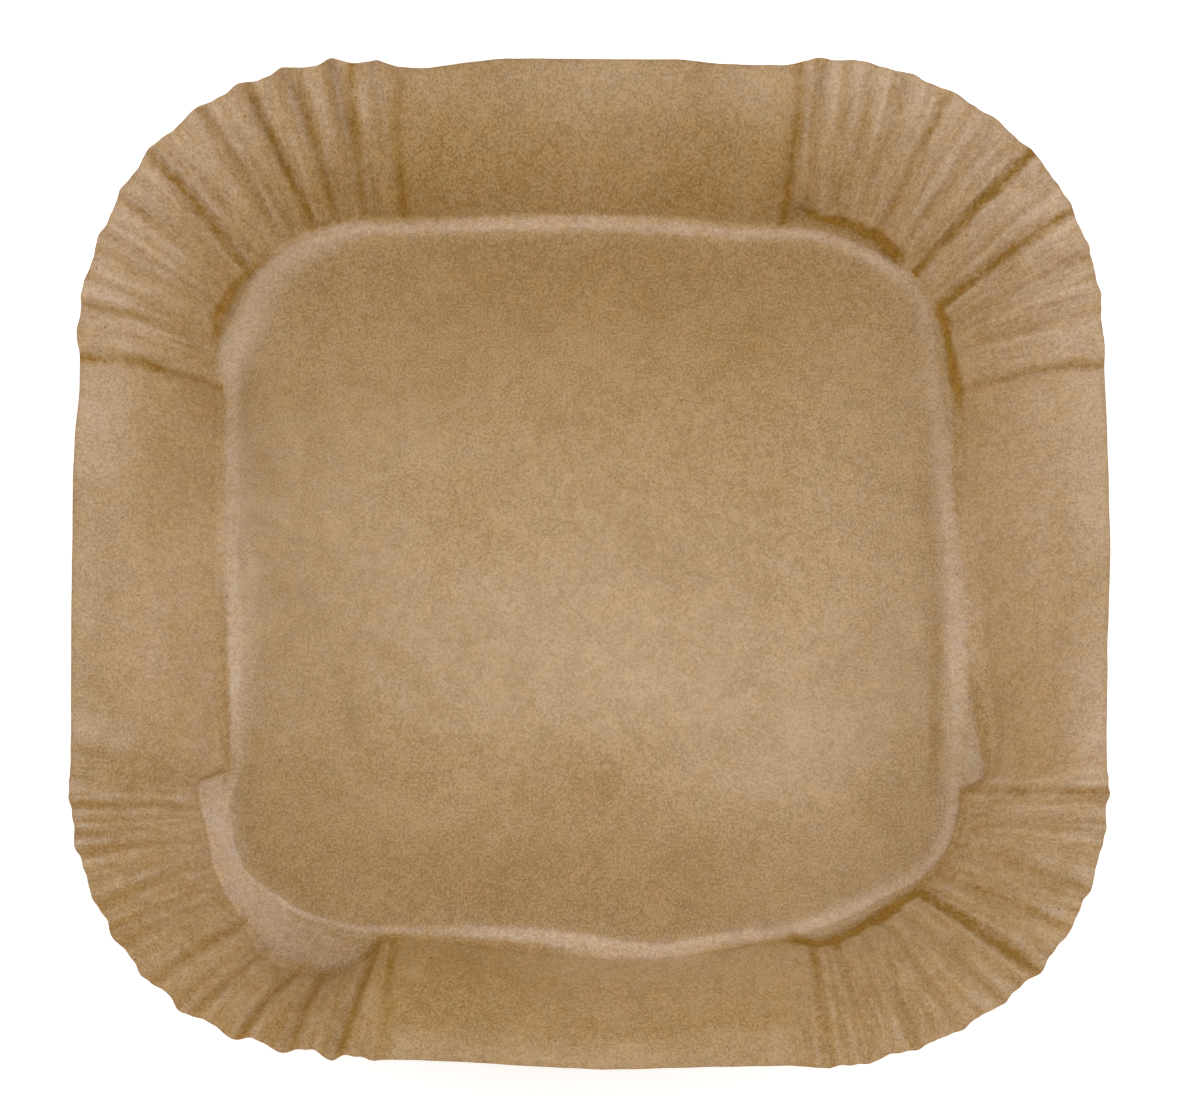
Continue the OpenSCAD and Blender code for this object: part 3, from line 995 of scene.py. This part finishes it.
def foot_line(n, mm, fray):
    """The crease at the wall's foot: a ragged brown line, partly the crease's colour and partly
    painted shade, which reaches higher in places.
    """
    away = n.math("MULTIPLY_ADD", fray, FOOT_FRAY, n.value_of("foot_away"))
    middle = n.spread(n.noise(mm, 7), 0.35, 0.65, FOOT_LOWEST, FOOT_HIGHEST)
    line = n.bell(n.math("SUBTRACT", away, middle),
                  n.math("MULTIPLY_ADD", middle, FOOT_WIDENING, FOOT_REACH))
    return n.math("MULTIPLY", line, n.value_of("foot_brown"))


def radial_creases(n):
    """Noise in long, thin streaks up the wall, about zero."""
    turn = n.math("MULTIPLY", n.value_of("pleat_turn"), STREAK_ROUND)
    up = n.math("MULTIPLY", n.value_of("pleat_up"), STREAK_UP)
    radial = n.add("ShaderNodeCombineXYZ", {0: turn, 1: up}).outputs[0]
    return n.math("SUBTRACT", n.noise(radial, 1), 0.5)


def wear_light_creases_and_shade(n, mm, streak):
    """How much wear and painted light, and how much crease colour and painted shade the paper
    has, from 0 to 1, both with a ragged edge.
    """
    pleated = n.value_of("pleated")
    ragged = n.math("SUBTRACT", n.noise(mm, 1.2, 4, 0.7), 0.5)
    fray = n.math("SUBTRACT", n.noise(mm, 2.2, 4, 0.7), 0.5)
    line = fold_line(n, fray)
    groove, pale = groove_lines(n, mm, fray)
    # Painted light on the crests of the fine radial creases
    pale_streak = n.math("MULTIPLY", n.spread(streak, -0.04, -0.18, 0, STREAK_PALE), pleated)
    wear_and_painted_light = n.math("MULTIPLY_ADD", pleated, pale, n.value_of("wear_and_painted_light"))
    wear_and_painted_light = n.math("ADD", wear_and_painted_light, pale_streak)
    wear_and_painted_light = n.math("MULTIPLY_ADD", line, n.math("SUBTRACT", 1, wear_and_painted_light), wear_and_painted_light)
    worn_and_lit = n.math("MULTIPLY", wear_and_painted_light, n.spread(ragged, -0.25, 0.25, 0.6, 1.1), clamp=True)
    # Painted shade in the grooves of the fine radial creases
    dark_streak = n.math("MULTIPLY", n.spread(streak, 0, 0.18, 0, STREAK_BROWN), pleated)
    brown = n.math("MULTIPLY", n.value_of("brown"), n.math("SUBTRACT", 1, line, clamp=True))
    for other in (foot_line(n, mm, fray), groove, dark_streak):
        brown = n.math("MAXIMUM", brown, other)
    creased_and_shaded = n.math("MULTIPLY", brown, n.spread(ragged, 0.25, -0.25, 0.5, 1.5), clamp=True)
    return worn_and_lit, creased_and_shaded


def paper_colour(n, mm, worn_and_lit, creased_and_shaded):
    grain = paper_grain(n, mm)
    colour = n.mix(grain, KRAFT_DARK, KRAFT_PALE)
    # Wear and painted light make the colour paler; creases and painted shade make it browner
    colour = n.mix(worn_and_lit, colour, n.mix(grain, WORN_AND_LIT_DARK, WORN_AND_LIT_PALE))
    colour = n.mix(creased_and_shaded, colour, n.mix(grain, CREASED_AND_SHADED_DARK, CREASED_AND_SHADED_PALE))
    # The hue wanders by itself, so its noise is read elsewhere
    elsewhere = n.add("ShaderNodeVectorMath", {0: mm, 1: (50, 90, 20)}).outputs[0]
    hue = n.spread(n.noise(elsewhere, 4, 3, 0.6), 0.3, 0.7)
    colour = n.mix(1.0, colour, n.mix(hue, TINT_WARM, TINT_COOL), "MULTIPLY")
    specks = n.add("ShaderNodeTexVoronoi", {"Vector": mm, "Scale": 1 / SPECK_SPACING})
    on_speck = n.math("LESS_THAN", specks.outputs["Distance"], SPECK_R)
    return n.mix(on_speck, colour, SPECK)


def paper_roughness(n, mm, worn_and_lit, creased_and_shaded):
    rough = n.spread(n.noise(mm, 14, 3, 0.6), 0.3, 0.7, ROUGH_LEAST, ROUGH_MOST)
    rough = n.math("MULTIPLY_ADD", creased_and_shaded, CREASED_AND_SHADED_ROUGHER, rough)
    rough = n.math("MULTIPLY_ADD", worn_and_lit, WORN_AND_LIT_ROUGHER, rough)
    return n.math("MULTIPLY_ADD", n.value_of("matt"), BEND_ROUGHER, rough)


def kraft_paper():
    # The paper's colour carries painted shade and painted light as well as its own grain
    n = Nodes("kraft_paper_painted_light")
    place = n.add("ShaderNodeTexCoord").outputs["Object"]
    mm = n.scaled(place, 1 / MM, 1 / MM, GRAIN_UP / MM)
    streak = radial_creases(n)
    worn_and_lit, creased_and_shaded = wear_light_creases_and_shade(n, mm, streak)
    normal = n.bump(n.noise(mm, 0.5, 2, 0.6), FIBRE_DEPTH)
    sunk = n.math("MULTIPLY", streak, n.math("MULTIPLY", n.value_of("pleated"), -1))
    normal = n.bump(sunk, STREAK_DEPTH, normal)
    normal = n.bump(n.noise(mm, 3, 3, 0.5), DIMPLE_DEPTH, normal)
    shader = n.add("ShaderNodeBsdfPrincipled", {
        "Base Color": paper_colour(n, mm, worn_and_lit, creased_and_shaded),
        "Roughness": paper_roughness(n, mm, worn_and_lit, creased_and_shaded), "Normal": normal, "IOR": 1.5})
    out = n.add("ShaderNodeOutputMaterial")
    n.tree.links.new(shader.outputs[0], out.inputs["Surface"])
    return n.material


# Brightness that the table top gains for the camera and in reflections
TABLE_LIFT = 0.45
# Size of the table top, in m
TABLE_W = 6


def white_floor():
    """White table top: its colour is lifted for the camera, and the shadow stays."""
    n = Nodes("white_table")
    path = n.add("ShaderNodeLightPath").outputs
    seen = n.math("MAXIMUM", n.math("MAXIMUM", path["Is Camera Ray"], path["Is Glossy Ray"]),
                  path["Is Transmission Ray"])
    shader = n.add("ShaderNodeBsdfDiffuse", {"Color": (0.9, 0.9, 0.9, 1)})
    lift = n.add("ShaderNodeEmission", {"Color": (1, 1, 1, 1),
                                        "Strength": n.math("MULTIPLY", seen, TABLE_LIFT)})
    both = n.add("ShaderNodeAddShader", {0: shader.outputs[0], 1: lift.outputs[0]})
    out = n.add("ShaderNodeOutputMaterial")
    n.tree.links.new(both.outputs[0], out.inputs["Surface"])
    return n.material


# The liner
piece = build_liner()
piece.data.materials.append(kraft_paper())
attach(piece, "root")
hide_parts("liner")

# The floor
bpy.ops.mesh.primitive_plane_add(size=TABLE_W, location=(0, 0, -0.1 * MM))
floor = bpy.context.object
floor.name = "floor"
floor.data.materials.append(white_floor())


# Light
# Soft lamps: [name, place, width, depth, energy in W], with places and sizes in mm
LAMPS = (
    ("lamp_over", (30, 67, 550), 310, 60, 0.45),
    ("lamp_left", (-750, 0, 420), 500, 500, 2.6),
    ("lamp_right", (750, 0, 420), 500, 500, 2.6),
    ("lamp_front", (0, -750, 480), 500, 500, 1.15),
    ("lamp_back", (0, 750, 300), 500, 500, 1.15),
)
WORLD_STRENGTH = 0.55


def area_lamp(name, place, width, depth, energy):
    """A soft lamp that faces the middle of the dish."""
    data = bpy.data.lights.new(name, "AREA")
    data.shape = "RECTANGLE"
    data.size = width * MM
    data.size_y = depth * MM
    data.energy = energy
    lamp = bpy.data.objects.new(name, data)
    lamp.location = [v * MM for v in place]
    direction = -lamp.location
    lamp.rotation_euler = direction.to_track_quat("-Z", "Y").to_euler()
    bpy.context.collection.objects.link(lamp)


for lamp in LAMPS:
    area_lamp(*lamp)

world = bpy.data.worlds.new("studio")
bpy.context.scene.world = world
world.use_nodes = True
background = world.node_tree.nodes["Background"]
background.inputs["Color"].default_value = (1, 1, 1, 1)
background.inputs["Strength"].default_value = WORLD_STRENGTH

# Camera: it looks down at the point AIM of the base, in mm, tilted from straight down
CAMERA_TILT_DEG = 11.1
CAMERA_DISTANCE = 1200
AIM = (-0.1, 6.8)
camera_data = bpy.data.cameras.new("camera")
camera_data.sensor_fit = "HORIZONTAL"
camera_data.sensor_width = 36
camera_data.lens = 168
camera_data.clip_start = 0.05
camera_data.clip_end = 20
camera = bpy.data.objects.new("camera", camera_data)
tilt = math.radians(CAMERA_TILT_DEG)
camera.location = (AIM[0] * MM, (AIM[1] - CAMERA_DISTANCE * math.sin(tilt)) * MM,
                   CAMERA_DISTANCE * math.cos(tilt) * MM)
camera.rotation_euler = (tilt, 0, 0)
bpy.context.collection.objects.link(camera)
bpy.context.scene.camera = camera
bpy.context.scene.view_settings.view_transform = "Standard"
